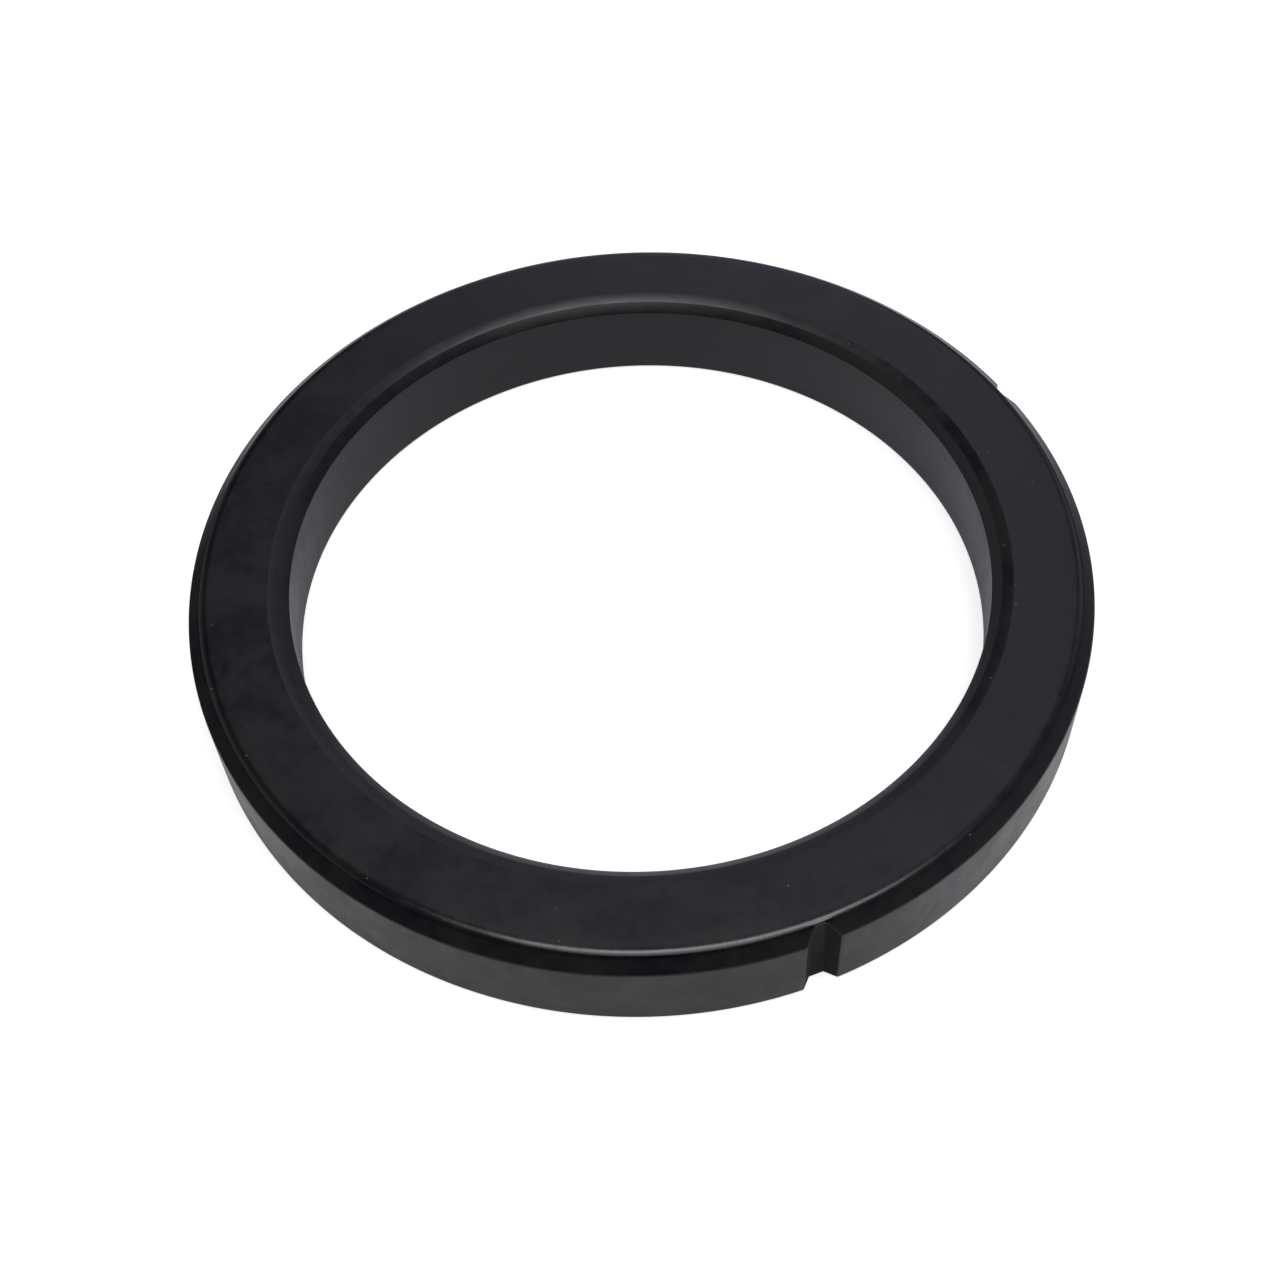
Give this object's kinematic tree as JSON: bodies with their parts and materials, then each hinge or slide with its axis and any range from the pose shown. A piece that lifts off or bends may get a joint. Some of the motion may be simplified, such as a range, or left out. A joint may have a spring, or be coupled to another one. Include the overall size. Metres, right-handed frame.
{
  "type": "group head gasket",
  "caption": "Black rubber sealing ring with a bevelled outer rim, a sloping lip around its bore and pull-out channels in its outer wall.",
  "frame": {"origin": "on the ring's axis, in the plane of the seat face that it lies on", "axes": "+Z along the ring's axis, from the seat face to the sealing face; +X points right and +Y away from the viewer in the picture"},
  "size_m": [0.073, 0.073, 0.008],
  "materials": {
    "black_rubber": "satin moulded rubber, blue-black, faintly mottled, with brighter fine edges and a few specks of dust"
  },
  "bodies": {
    "root": {"gasket": "black_rubber"}
  },
  "joints": []
}
